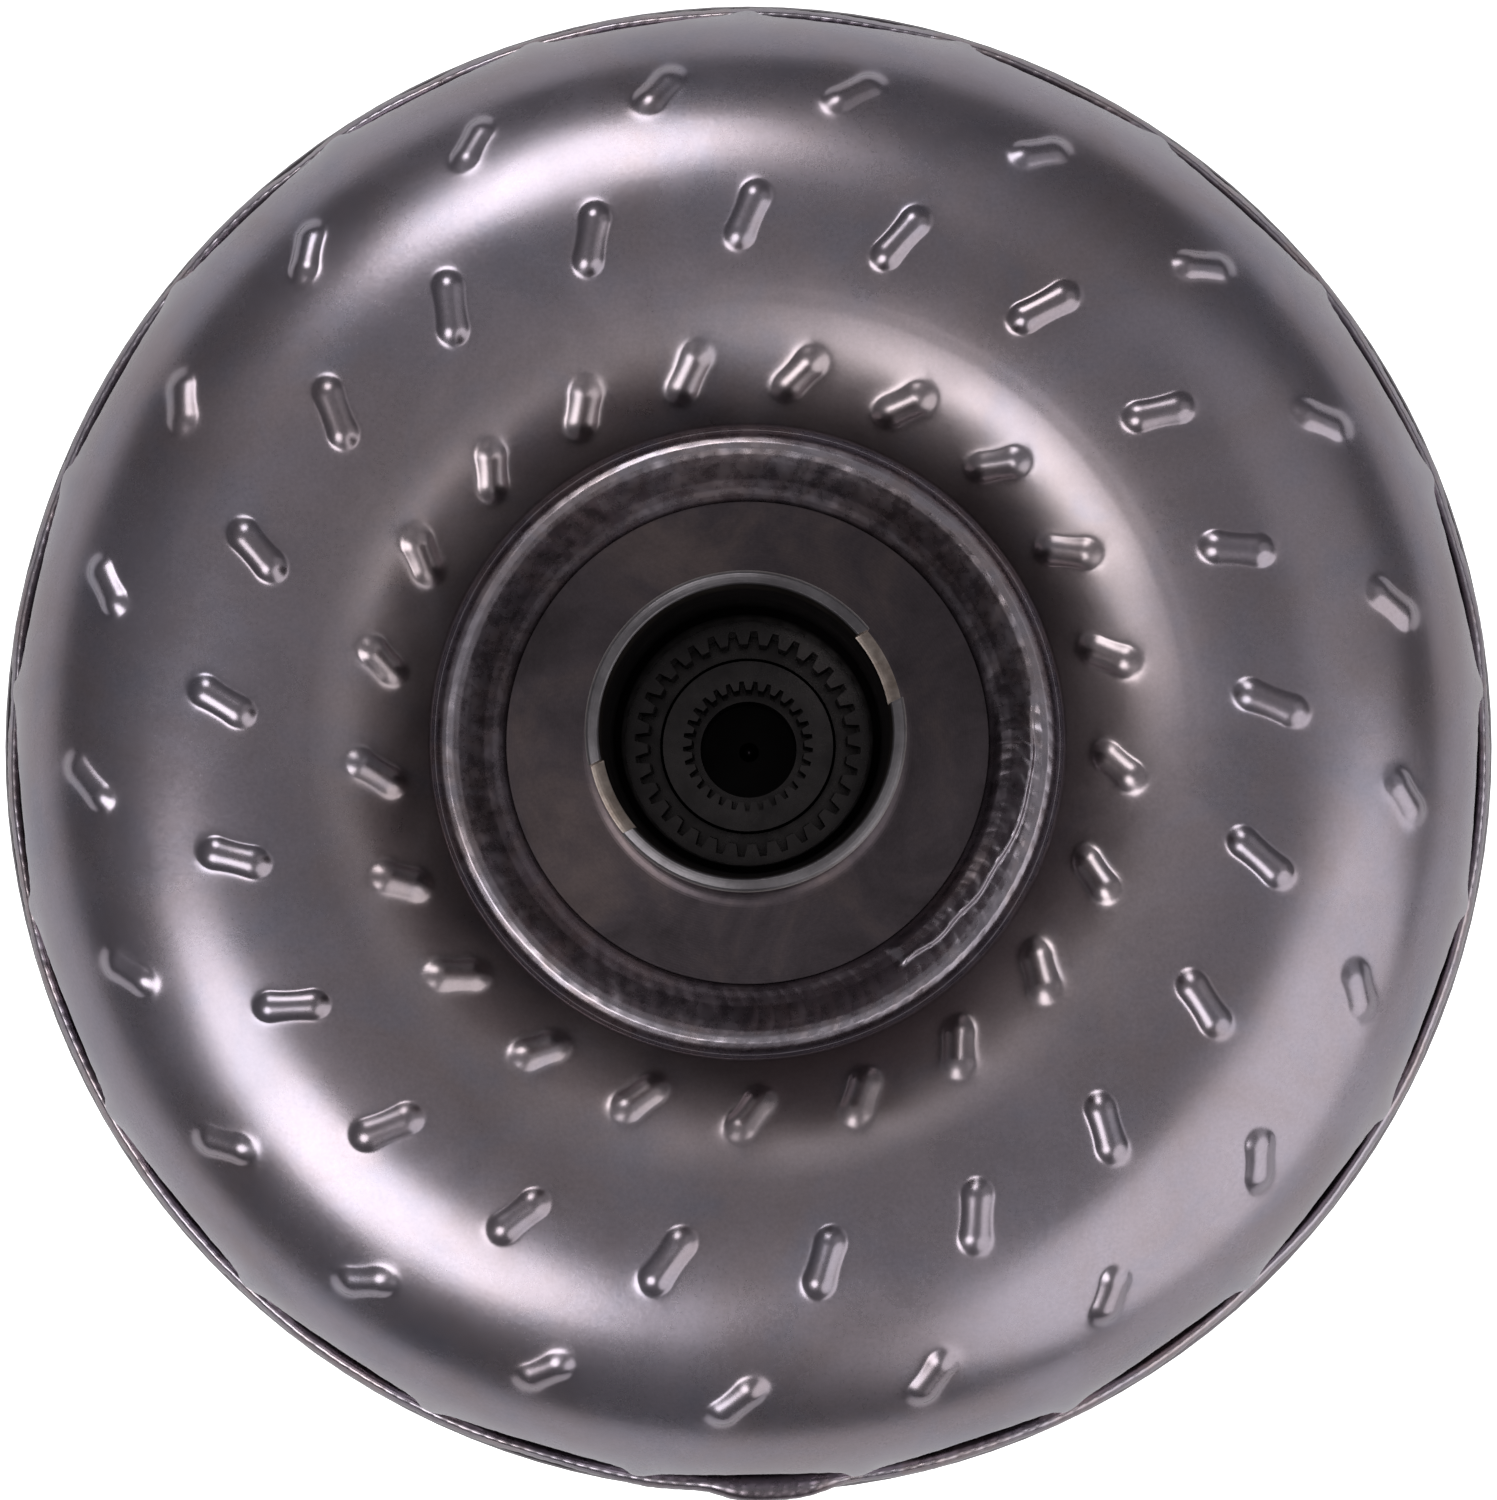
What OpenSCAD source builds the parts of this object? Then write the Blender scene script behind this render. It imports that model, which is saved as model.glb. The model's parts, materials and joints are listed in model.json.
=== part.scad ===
// Lock-up torque converter for a passenger-car automatic transmission.
// Frame: +Z along the shaft axis, from the engine side to the transmission side.
// The origin is on the axis, at the end of the crank pilot. Millimetres.

/* [Casing] */
// Outside diameter of the front cover's wall
cover_d = 260; // [240:1:300]
// Thickness of the front cover's plate
cover_t = 4.4; // [3:0.1:5]
// Thickness of the impeller shell's plate
shell_t = 4; // [3:0.1:5]
// Height of the impeller shell's crest above its rim shoulder
shell_rise = 34; // [30:0.5:38]
// Number of flats pressed into the impeller shell's shoulder
flats = 21; // [9:1:31]

/* [Impeller hub] */
// Outside diameter of the hub's neck, which drives the oil pump
neck_d = 47.6; // [46:0.1:50]
// Bore of the neck, which clears the stator support
neck_bore = 43.4; // [42:0.1:44]
// Width of each of the two drive slots in the neck's end
slot_w = 11.2; // [8:0.1:14]
// Depth of the drive slots
slot_depth = 9; // [6:0.5:14]

/* [Engine side] */
// Diameter of the crank pilot
pilot_d = 40; // [38:0.1:42]
// Number of threaded drive pads
pads = 4; // [3:1:6]
// Circle that the drive pads stand on
pad_pcd = 204; // [190:1:206]
// Tapping-size hole in each pad
pad_hole_d = 8.5; // [6.8:0.1:10.2]

/* [Blading] */
// Number of impeller blades, each held by three bumps in the shell
impeller_blades = 21; // [15:1:31]
// Number of turbine blades
turbine_blades = 23; // [17:1:33]
// Number of stator vanes
stator_vanes = 17; // [11:1:21]

/* [Splines] */
// Teeth in the stator clutch's inner race
race_teeth = 32; // [24:1:40]
// Teeth in the turbine hub
hub_teeth = 29; // [22:1:34]

/* [Damper] */
// Number of damper springs
springs = 6; // [4:1:6]
// Outside diameter of a damper spring
spring_d = 16; // [14:0.5:16]
// Wire diameter of a damper spring
wire_d = 3.2; // [2.4:0.1:3.6]

/* [Hidden] */
$fn = 96;

steel = "silver";
dark_steel = "dimgray";

// --- heights along the axis ---
pad_face_z = 6;                       // drive pads' faces
cover_z = 15;                         // cover's flat outer face
cover_in_z = cover_z + cover_t;       // cover's flat inner face
centre_z = 11;                        // cover's centre, which is pressed out towards the engine
lip_z = 70;                           // end of the cover's wall
rim_z = 60;                           // end of the impeller shell's rim, inside the cover
shoulder_z = 78;                      // where the shell's rim becomes the torus
crest_z = shoulder_z + shell_rise;    // top of the impeller shell
flat_z = 73;                          // lower edge of the shoulder's flats
split_z = 76;                         // plane between the impeller and the turbine
neck_z = 166;                         // end of the neck
flange_z = 95;                        // hub flange's outer face
flange_in_z = 89;                     // hub flange's inner face

// --- radii of the casing ---
cover_r = cover_d / 2;
rim_r = cover_r - cover_t - 0.1;      // impeller shell's rim, inside the cover's wall
flat_r = rim_r - 1.4;                 // distance from the axis to each flat
torus_r = 87;                         // radius of the shell's crest
torus_out = rim_r - torus_r;          // outer half-width of the shell's section
torus_in = 42;                        // inner half-width of the shell's section
lip_r = 52;                           // shell's inner lip, where the hub flange is welded
neck_r = neck_d / 2;
bore_r = neck_bore / 2;
step_r = bore_r - 1.1;                // narrower end of the hub's bore, below step_z
step_z = 110;
slot_angle = 26;                      // direction of the first drive slot

// --- turbine ---
turbine_rise = 28;
turbine_out = torus_out - shell_t - 1.6;
turbine_in = 37;
turbine_t = 2;
turbine_z = split_z - 2;              // centre of the turbine's section
turbine_flange_z = 57;                // underside of the turbine shell's inner flange
turbine_bore_r = 34.5;

// --- core rings ---
core_r = 89;
core_half = 15;
core_rise = 12;
core_t = 1.2;

// --- stator and its one-way clutch ---
stator_bore_r = 38;
stator_hub_r = 50;
stator_ring_r = 70;
clutch_z0 = 68.2;
clutch_z1 = 81.8;
race_r = 26;
roller_r = 3.8;
rollers = 8;
race_spline = [17.1, 19.3];           // crest and root radii of the inner race's teeth
needle_r = 1.2;
needles = 24;

// --- turbine hub ---
hub_spline = [9.9, 11.4];
hub_land_r = 25;
drive_spline = [28.4, 30];
drive_teeth = 24;

// --- lock-up piston and damper ---
piston_z = 22.1;
piston_t = 3;
lining_t = 1.5;
spring_z = 35;
spring_r = 60;
spring_l = 39.6;
window_l = 40;
rivet_r = 82;
damper_rivet_count = 8;

clear = 0.15;                         // gap between neighbouring solids of one assembly

// --- curves ---
// Points of an arc about c, from angle a0 to a1.
function arc(c, r, a0, a1, n = 12) =
    [for (i = [0:n]) let (a = a0 + (a1 - a0) * i / n) [c[0] + r * cos(a), c[1] + r * sin(a)]];

// Points of an elliptical arc about c, with half-widths h.
function oval(c, h, a0, a1, n = 12) =
    [for (i = [0:n]) let (a = a0 + (a1 - a0) * i / n) [c[0] + h[0] * cos(a), c[1] + h[1] * sin(a)]];

function reversed(p) = [for (i = [len(p) - 1:-1:0]) p[i]];

// Torus section seen from the rim to the inner lip at radius lip, thinned by t.
function impeller_curve(t, lip, n = 11) = concat(
    oval([torus_r, shoulder_z], [torus_out - t, shell_rise - t], 0, 90, n),
    [for (i = [1:n]) let (u = asin((torus_r - lip) / (torus_in - t)) * i / n)
        [torus_r - (torus_in - t) * sin(u), shoulder_z + (shell_rise - t) * cos(u)]]);

// The turbine's section, from the split plane to its inner flange at height z.
function turbine_curve(t, z, n = 10) = concat(
    oval([torus_r, turbine_z], [turbine_out - t, turbine_rise - t], 0, -90, n),
    [for (i = [1:n]) let (u = acos((turbine_z - z) / (turbine_rise - t)) * i / n)
        [torus_r - (turbine_in - t) * sin(u), turbine_z - (turbine_rise - t) * cos(u)]]);

// Outline of a toothed circle: tooth crests at r0, roots at r1.
function teeth(n, r0, r1) =
    [for (i = [0:n - 1], k = [0:3])
        let (a = 360 / n * (i + [0, 0.42, 0.56, 0.86][k]), r = k < 2 ? r0 : r1) [r * cos(a), r * sin(a)]];

// A blade in plan: a curved strip through the three bumps that hold it.
blade_c = [72.2, 44.3];
blade_arc_r = 83.4;
blade_t = 1.2;
function strip(r, t, a0, a1, n = 14) =
    concat(arc([0, 0], r + t / 2, a0, a1, n), reversed(arc([0, 0], r - t / 2, a0, a1, n)));

// --- general modules ---
module ring(r0, r1, z0, z1) {
    translate([0, 0, z0])
        difference() {
            cylinder(r = r1, h = z1 - z0);
            translate([0, 0, -1]) cylinder(r = r0, h = z1 - z0 + 2);
        }
}

module around(n, start = 0) {
    for (i = [0:n - 1]) rotate([0, 0, start + i * 360 / n]) children();
}

// --- impeller ---
// Bumps pressed out of the shell, one at each tab of each blade.
bump_rings = [[61.2, -9, 34, 4.2], [85.7, 0, 28, 5.8], [108.4, 9.4, 45, 5]];   // radius, angle, tilt, half-length
bump_r = 2.9;
bump_proud = 1.4;

// Height and slope of the shell's outer surface at radius r.
function shell_width(r) = r > torus_r ? torus_out : torus_in;
function shell_z(r) = shoulder_z + shell_rise * sqrt(1 - pow((r - torus_r) / shell_width(r), 2));
function shell_slope(r) =
    let (x = (r - torus_r) / shell_width(r)) atan(shell_rise / shell_width(r) * x / sqrt(1 - x * x));

module bump(half) {
    intersection() {
        rotate([0, 90, 0]) cylinder(r = bump_r, h = 2 * half + 8, center = true, $fn = 12);
        rotate([90, 0, 0])
            linear_extrude(height = 8, center = true)
                polygon([[-half - 1.6, -2], [half + 1.6, -2], [half + 1.6, 0.6], [half + 0.6, 2.1], [half - 1, bump_r],
                    [1 - half, bump_r], [-half - 0.6, 2.1], [-half - 1.6, 0.6]]);
    }
}

module bumps() {
    for (ring_of = bump_rings)
        around(impeller_blades, 90 - ring_of[1])
            translate([ring_of[0], 0, shell_z(ring_of[0])])
                rotate([0, shell_slope(ring_of[0]), 0])
                    translate([0, 0, bump_proud - bump_r])
                        rotate([0, 0, -ring_of[2]])
                            bump(ring_of[3] - bump_r / 2);
}

module impeller_shell() {
    color(steel)
        difference() {
            union() {
                rotate_extrude()
                    polygon(concat(
                        [[rim_r - shell_t, rim_z], [rim_r, rim_z]],
                        impeller_curve(0, lip_r),
                        reversed(impeller_curve(shell_t, lip_r))));
                bumps();
            }
            translate([0, 0, flat_z])
                linear_extrude(height = 16)
                    difference() {
                        circle(r = cover_r + 10);
                        polygon([for (i = [0:flats - 1])
                            flat_r / cos(180 / flats) * [cos(90 + i * 360 / flats), sin(90 + i * 360 / flats)]]);
                    }
        }
}

module impeller_blade_section() {
    difference() {
        polygon(concat(
            [[rim_r - shell_t - clear, split_z + 1.2]],
            impeller_curve(shell_t + clear, 56),
            [[56, 87.6], [core_r - core_half - 1, 87.6], [core_r - core_half - 1, split_z + 1.2]]));
        polygon(concat([[0, 0], [core_r, 0], [core_r + core_half + clear, 0]],
            oval([core_r, split_z + 0.8], [core_half + clear, core_rise + clear], 0, 180),
            [[0, split_z + 0.8]]));
    }
}

module impeller_blades() {
    color(dark_steel)
        intersection() {
            rotate_extrude() impeller_blade_section();
            translate([0, 0, split_z])
                linear_extrude(height = 40)
                    around(impeller_blades)
                        translate(blade_c) polygon(strip(blade_arc_r, blade_t, 113, 180, 8));
        }
}

module impeller_core_ring() {
    color(dark_steel)
        rotate_extrude()
            polygon(concat(
                oval([core_r, split_z + 0.8], [core_half, core_rise], 0, 180),
                reversed(oval([core_r, split_z + 0.8], [core_half - core_t, core_rise - core_t], 0, 180))));
}

// The hub: neck, fillet and flange, with two drive slots in the neck's end.
module impeller_hub() {
    fillet = 4;
    color(steel)
        difference() {
            rotate_extrude()
                polygon(concat(
                    [[step_r, flange_in_z], [lip_r - 0.05, flange_in_z], [lip_r - 0.05, flange_z - 1],
                        [lip_r - 1.5, flange_z]],
                    arc([neck_r + fillet, flange_z + fillet], fillet, 270, 180),
                    [[neck_r, neck_z - 0.6], [neck_r - 0.6, neck_z], [bore_r + 0.5, neck_z],
                        [bore_r, neck_z - 0.5], [bore_r, step_z], [step_r, step_z - 1.1]]));
            rotate([0, 0, slot_angle])
                translate([-neck_r - 5, -slot_w / 2, neck_z - slot_depth])
                    cube([2 * neck_r + 10, slot_w, slot_depth + 1]);
        }
}

module hub_weld() {
    toe = 40.5;
    crown = 97.4;
    color(dark_steel)
        rotate_extrude()
            polygon(concat(
                [[toe, flange_z + 0.02], [lip_r - 1.5, flange_z + 0.02], [lip_r - 0.03, flange_z - 0.9],
                    [lip_r - 0.03, shell_z(lip_r) + 0.1], [lip_r + 0.5, shell_z(lip_r + 0.5) + 0.1]],
                [[lip_r - 1.2, crown - 1.3], [lip_r - 2.6, crown - 0.6], [lip_r - 4.5, crown - 0.15],
                    [lip_r - 6.5, crown], [lip_r - 8.5, crown - 0.2], [lip_r - 10, crown - 0.7],
                    [toe + 0.4, flange_z + 1]]));
}

// --- front cover ---
module front_cover() {
    corner = 14;
    in_r = cover_r - cover_t;
    color(steel)
        difference() {
            rotate_extrude()
                polygon(concat(
                    [[0, centre_z], [44, centre_z]],
                    [[46, centre_z + 0.3], [52, cover_z - 0.3], [54, cover_z]],
                    arc([cover_r - corner, cover_z + corner], corner, 270, 360),
                    [[cover_r, lip_z - 1.5], [cover_r - 0.5, lip_z - 0.5], [cover_r - 1.4, lip_z],
                        [in_r, lip_z]],
                    reversed(arc([cover_r - corner, cover_z + corner], corner - cover_t, 270, 360)),
                    [[52, cover_in_z], [50, cover_in_z - 0.3], [44, centre_z + cover_t + 0.3],
                        [42, centre_z + cover_t], [0, centre_z + cover_t]]));
            translate([0, 0, centre_z + cover_t]) rotate([180, 0, 0])
                translate([0, 0, -0.5]) cylinder(r1 = 2.4, r2 = 0.2, h = 2);
        }
}

module seam_weld() {
    color(dark_steel)
        rotate_extrude()
            polygon(concat(
                [[rim_r + 0.02, lip_z + 0.02]],
                arc([rim_r + 0.02, lip_z + 0.02], 2.9, 0, 90, 8)));
}

// The pilot stands on a slightly wider root, which the weld runs round.
pilot_root = 0.8;
pilot_leg = 4;
module crank_pilot() {
    r = pilot_d / 2;
    root_r = r + pilot_root;
    root_z = centre_z - pilot_leg;
    color(steel)
        rotate_extrude()
            polygon([[0, 5], [2.5, 2.5], [6, 2.2], [14, 2.2], [15, 0], [r - 1.5, 0], [r, 1.5],
                [r, root_z - 0.8], [root_r, root_z], [root_r, centre_z - 0.02], [0, centre_z - 0.02]]);
}

module pilot_weld() {
    r = pilot_d / 2 + pilot_root;
    color(dark_steel)
        rotate_extrude()
            polygon(concat([[r + 0.02, centre_z - 0.02]],
                reversed(arc([r + pilot_leg, centre_z - pilot_leg], pilot_leg - 0.02, 90, 180, 6))));
}

module pad_shape(grow = 0) {
    intersection() {
        circle(r = 16 + grow);
        square([26 + 2 * grow, 40], center = true);
    }
}

module drive_pad(k) {
    color(steel)
        rotate([0, 0, 360 / pads * (k - 1)])
            translate([pad_pcd / 2, 0, pad_face_z])
                difference() {
                    linear_extrude(height = cover_z - pad_face_z - 0.02) pad_shape();
                    translate([0, 0, -1]) cylinder(d = pad_hole_d, h = cover_z - pad_face_z);
                    translate([0, 0, -0.01]) cylinder(d1 = pad_hole_d + 2, d2 = pad_hole_d, h = 1);
                }
}

// A fillet bead along both straight sides of each pad.
module pad_welds() {
    leg = 3;
    color(dark_steel)
        around(pads)
            translate([pad_pcd / 2, 0, cover_z])
                for (side = [0, 180])
                    rotate([0, 0, side])
                        translate([13.02, 8, -0.02])
                            rotate([90, 0, 0])
                                linear_extrude(height = 16) polygon([[0, 0], [leg, 0], [0, -leg]]);
}

module balance_weight() {
    color(dark_steel)
        rotate([0, 0, 38])
            rotate_extrude(angle = 14)
                translate([100, cover_z - 2.52]) square([12, 2.5]);
}

// --- turbine ---
module turbine_shell() {
    color(steel)
        rotate_extrude()
            polygon(concat(
                [[torus_r + turbine_out, turbine_z + 0.6]],
                turbine_curve(0, turbine_flange_z),
                [[turbine_bore_r, turbine_flange_z], [turbine_bore_r, turbine_flange_z + turbine_t]],
                reversed(turbine_curve(turbine_t, turbine_flange_z + turbine_t)),
                [[torus_r + turbine_out - turbine_t, turbine_z + 0.6]]));
}

module turbine_blade_section() {
    difference() {
        polygon(concat(
            [[torus_r + turbine_out - turbine_t - clear, split_z - 1.2]],
            turbine_curve(turbine_t + clear, 60),
            [[torus_r - 28, 63.6], [core_r - core_half - 1, 63.6],
                [core_r - core_half - 1, split_z - 1.2]]));
        polygon(concat([[0, 200], [core_r, 200], [core_r + core_half + clear, 200]],
            oval([core_r, split_z - 0.8], [core_half + clear, core_rise + clear], 0, -180),
            [[0, split_z - 0.8]]));
    }
}

module turbine_blades() {
    color(dark_steel)
        intersection() {
            rotate_extrude() turbine_blade_section();
            translate([0, 0, 40])
                linear_extrude(height = 40)
                    around(turbine_blades, 7)
                        mirror([1, 0]) translate(blade_c) polygon(strip(blade_arc_r, 1, 113, 180, 8));
        }
}

module turbine_core_ring() {
    color(dark_steel)
        rotate_extrude()
            polygon(concat(
                oval([core_r, split_z - 0.8], [core_half, core_rise], 0, -180),
                reversed(oval([core_r, split_z - 0.8], [core_half - core_t, core_rise - core_t], 0, -180))));
}

module turbine_hub() {
    shoulder = 61;
    nose = 68;
    foot = 17.6;
    color(steel)
        difference() {
            union() {
                rotate_extrude()
                    polygon([[8.8, foot], [hub_land_r - 0.6, foot], [hub_land_r, foot + 0.6],
                        [hub_land_r, 24], [hub_land_r - 2.4, 24], [hub_land_r - 2.4, 26.3],
                        [hub_land_r, 26.3], [hub_land_r, 31], [27, 31], [27, 51.8], [47, 51.8],
                        [47, turbine_flange_z - 0.02], [turbine_bore_r - 0.1, turbine_flange_z - 0.02],
                        [turbine_bore_r - 0.1, shoulder], [15.4, shoulder], [15.4, nose - 0.5],
                        [14.9, nose], [8.8, nose]]);
                translate([0, 0, 31]) linear_extrude(height = 15)
                    difference() {
                        polygon(teeth(drive_teeth, 30, 28.4));
                        circle(r = 20);
                    }
            }
            translate([0, 0, 40]) linear_extrude(height = 40)
                polygon(teeth(hub_teeth, hub_spline[0], hub_spline[1]));
            around(12) translate([42, 0, 50]) cylinder(r = 2.6, h = 10);
        }
}

module turbine_rivets() {
    color(dark_steel)
        around(12)
            translate([42, 0, 0]) {
                translate([0, 0, 50]) cylinder(r1 = 3.4, r2 = 4.2, h = 1.75);
                translate([0, 0, 51.7]) cylinder(r = 2.55, h = 7.4);
                translate([0, 0, 59.05]) cylinder(r1 = 4.2, r2 = 3.2, h = 1.6);
            }
}

module turbine_shell_with_holes() {
    difference() {
        turbine_shell();
        around(12) translate([42, 0, 50]) cylinder(r = 2.6, h = 12);
    }
}

module piston_seal_ring() {
    color("saddlebrown") ring(hub_land_r - 2.2, hub_land_r + 0.04, 24.15, 26.15);
}

module front_thrust_washer() {
    color("tan")
        difference() {
            ring(13, 23, centre_z + cover_t + 0.1, 17.5);
            around(6) translate([10, -1.5, centre_z + cover_t]) cube([20, 3, 0.7]);
        }
}

// --- lock-up piston, with its lining and the damper ---
module lockup_piston() {
    top = piston_z + piston_t;
    bore = hub_land_r + 0.1;
    color(steel)
        difference() {
            rotate_extrude()
                polygon(concat(
                    [[bore, 21], [29, 21], [30, piston_z]],
                    arc([112, piston_z + 7.5], 7.5, 270, 360, 8),
                    [[119.5, 36], [116.5, 36]],
                    reversed(arc([112, piston_z + 7.5], 4.5, 270, 360, 8)),
                    [[34, top], [30, top + 1], [28.5, 29.5], [bore, 29.5]]));
            around(damper_rivet_count, 22.5)
                translate([rivet_r, 0, 10]) cylinder(r = 3.1, h = 30);
        }
}

module friction_lining() {
    grooves = 12;
    color("saddlebrown")
        difference() {
            ring(91, 114, piston_z - 0.02 - lining_t, piston_z - 0.02);
            around(grooves)
                translate([85, -0.75, piston_z - lining_t - 0.5]) cube([40, 1.5, 1.2]);
        }
}

module windows(width) {
    around(springs)
        translate([spring_r, 0]) square([width, window_l], center = true);
}

module drive_plate(z0, inner) {
    color(dark_steel)
        translate([0, 0, z0])
            difference() {
                linear_extrude(height = 2.4)
                    difference() {
                        circle(r = 88);
                        circle(r = inner);
                        windows(13.8);
                    }
                around(damper_rivet_count, 22.5)
                    translate([rivet_r, 0, -1]) cylinder(r = 3.1, h = 5);
            }
}

module damper_rivets() {
    color(steel)
        around(damper_rivet_count, 22.5)
            translate([rivet_r, 0, 0])
                rotate_extrude()
                    polygon([[0, 21.2], [4.4, 21.2], [4.9, 22.06], [3.05, 22.08], [3.05, 25.12], [5, 25.12],
                        [5, 28.18], [3.05, 28.18], [3.05, 30.62], [5, 30.62], [5, 39.38], [3.05, 39.38],
                        [3.05, 41.82], [4.9, 41.84], [4.2, 43.2], [0, 43.2]]);
}

module damper_hub() {
    color(steel)
        difference() {
            union() {
                translate([0, 0, 31.6]) cylinder(r = 36, h = 13);
                translate([0, 0, 33.2])
                    linear_extrude(height = 3.6)
                        difference() {
                            circle(r = 75);
                            windows(17);
                        }
            }
            translate([0, 0, 30])
                linear_extrude(height = 20) polygon(teeth(drive_teeth, 30.1, 28.5));
        }
}

// A coil of round wire along Y, with closed ends.
coils = 6.5;
wire_sides = 8;
steps = 60;
module coil(d, wire, length) {
    r = (d - wire) / 2;
    pitch_l = length - wire;
    rings = [for (i = [0:steps]) let (s = i / steps, a = 360 * coils * s)
        for (k = [0:wire_sides - 1]) let (b = 360 * k / wire_sides)
            [(r + wire / 2 * cos(b)) * cos(a), wire / 2 * sin(b) + (s - 0.5) * pitch_l,
                (r + wire / 2 * cos(b)) * sin(a)]];
    sides = [for (i = [0:steps - 1], k = [0:wire_sides - 1]) let (n = wire_sides, j = (k + 1) % n)
        [i * n + k, i * n + j, (i + 1) * n + j, (i + 1) * n + k]];
    first = [for (k = [wire_sides - 1:-1:0]) k];
    last = [for (k = [0:wire_sides - 1]) steps * wire_sides + k];
    polyhedron(points = rings, faces = concat(sides, [first, last]));
}

module damper_spring(k) {
    color("slategray")
        rotate([0, 0, 360 / springs * (k - 1)])
            translate([spring_r, 0, spring_z])
                coil(spring_d, wire_d, spring_l);
}

// --- stator ---
// Vane section in the plane of the axis and the direction of turning.
function vane(n = 10) =
    concat([for (i = [0:n]) let (s = i / n) [vane_bend(s) - vane_half(s), -8.5 + 17 * s]],
        [for (i = [n:-1:0]) let (s = i / n) [vane_bend(s) + vane_half(s), -8.5 + 17 * s]]);
function vane_bend(s) = 9 * pow(1 - s, 2) - 3;
function vane_half(s) = 0.45 + 1.7 * sqrt(s) * (1 - pow(s, 3));

module stator_wheel() {
    color("gainsboro")
        difference() {
            union() {
                ring(stator_bore_r, stator_hub_r, 66, 86.2);
                ring(stator_ring_r, stator_ring_r + 2.2, 67, 85);
                around(stator_vanes)
                    translate([stator_hub_r - 0.8, 0, split_z])
                        rotate([90, 0, 90])
                            linear_extrude(height = stator_ring_r - stator_hub_r + 1.6) polygon(vane());
            }
            ring(stator_bore_r - 1, stator_bore_r + 1.2, 84.5, 85.9);
        }
}

// Cam outline inside the outer race: lugs part the pockets, and each pocket narrows as the angle grows.
cam_r = [35.4, 33.3];
cam_a = [1.8, 39.6];
function cam(n = rollers, m = 6) =
    [for (i = [0:n - 1], j = [-1:m + 1])
        let (s = max(0, min(1, j / m)), a = 360 / n * i + cam_a[0] + (cam_a[1] - cam_a[0]) * s,
            r = j < 0 || j > m ? 27.2 : cam_r[0] + (cam_r[1] - cam_r[0]) * s)
            [r * cos(a), r * sin(a)]];

module clutch_outer_race() {
    color(steel)
        translate([0, 0, clutch_z0])
            linear_extrude(height = clutch_z1 - clutch_z0)
                difference() {
                    circle(r = stator_bore_r - 0.03);
                    polygon(cam());
                }
}

roller_at = 28;   // angle of a roller in its pocket
module clutch_rollers() {
    color(steel)
        around(rollers, roller_at)
            translate([race_r + roller_r + 0.12, 0, clutch_z0 + 0.3])
                cylinder(r = roller_r, h = clutch_z1 - clutch_z0 - 0.6);
}

// Folded leaf springs that push each roller up its ramp.
module clutch_springs() {
    folds = 5;
    color("goldenrod")
        translate([0, 0, clutch_z0 + 3])
            linear_extrude(height = 8)
                around(rollers, cam_a[0] + 1.2)
                    translate([race_r + 3.7, 0])
                        polygon(concat(
                            [for (i = [0:folds]) [i % 2 == 0 ? -1.7 : 2.5, i * 1.7]],
                            [for (i = [folds:-1:0]) [i % 2 == 0 ? -2.5 : 1.7, i * 1.7]]));
}

module stator_back_plate() {
    color(steel) ring(race_r + 0.3, stator_bore_r - 0.05, clutch_z1 + 0.05, 84.4);
}

module stator_front_plate() {
    color(steel) ring(race_r + 0.3, stator_bore_r - 0.05, 65.6, clutch_z0 - 0.05);
}

module stator_snap_ring() {
    color(dark_steel)
        difference() {
            ring(35.6, stator_bore_r + 1, 84.6, 85.8);
            rotate([0, 0, 60]) translate([30, -4, 84]) cube([12, 8, 3]);
        }
}

module clutch_inner_race() {
    color(steel)
        translate([0, 0, 65.8])
            linear_extrude(height = 18.4)
                difference() {
                    circle(r = race_r);
                    polygon(teeth(race_teeth, race_spline[0], race_spline[1]));
                }
}

// --- thrust bearings: two races and a cage of radial needles ---
bearing_r = [23, 34];
module race_washer(z) {
    color(steel) ring(bearing_r[0], bearing_r[1], z, z + 0.9);
}

module cage(z) {
    color("darkgoldenrod")
        difference() {
            ring(bearing_r[0] + 0.6, bearing_r[1] - 0.6, z - 0.7, z + 0.7);
            around(needles)
                translate([bearing_r[0] + 1.6, -needle_r - 0.1, z - 2]) cube([7.8, 2 * needle_r + 0.2, 4]);
        }
}

module needle_set(z) {
    color(steel)
        around(needles)
            translate([bearing_r[0] + 1.8, 0, z]) rotate([0, 90, 0]) cylinder(r = needle_r - 0.03, h = 7.4);
}

pump_needle_z = 86.7;
turbine_needle_z = 63.3;

impeller_shell();
impeller_blades();
impeller_core_ring();
impeller_hub();
hub_weld();
front_cover();
seam_weld();
crank_pilot();
pilot_weld();
drive_pad(1);  // drive_pad_1
drive_pad(2);  // drive_pad_2
drive_pad(3);  // drive_pad_3
drive_pad(4);  // drive_pad_4
pad_welds();
balance_weight();
turbine_shell_with_holes();  // turbine_shell
turbine_blades();
turbine_core_ring();
turbine_hub();
turbine_rivets();
piston_seal_ring();
front_thrust_washer();
lockup_piston();
friction_lining();
drive_plate(28.2, 40);  // damper_front_plate
drive_plate(39.4, 40);  // damper_rear_plate
damper_rivets();
damper_hub();
damper_spring(1);  // damper_spring_1
damper_spring(2);  // damper_spring_2
damper_spring(3);  // damper_spring_3
damper_spring(4);  // damper_spring_4
damper_spring(5);  // damper_spring_5
damper_spring(6);  // damper_spring_6
stator_wheel();
clutch_outer_race();
clutch_rollers();
clutch_springs();
stator_back_plate();
stator_front_plate();
stator_snap_ring();
clutch_inner_race();
race_washer(88.05);  // pump_bearing_upper_race
race_washer(84.45);  // pump_bearing_lower_race
cage(pump_needle_z);  // pump_bearing_cage
needle_set(pump_needle_z);  // pump_bearing_needles
race_washer(64.65);  // turbine_bearing_upper_race
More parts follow.
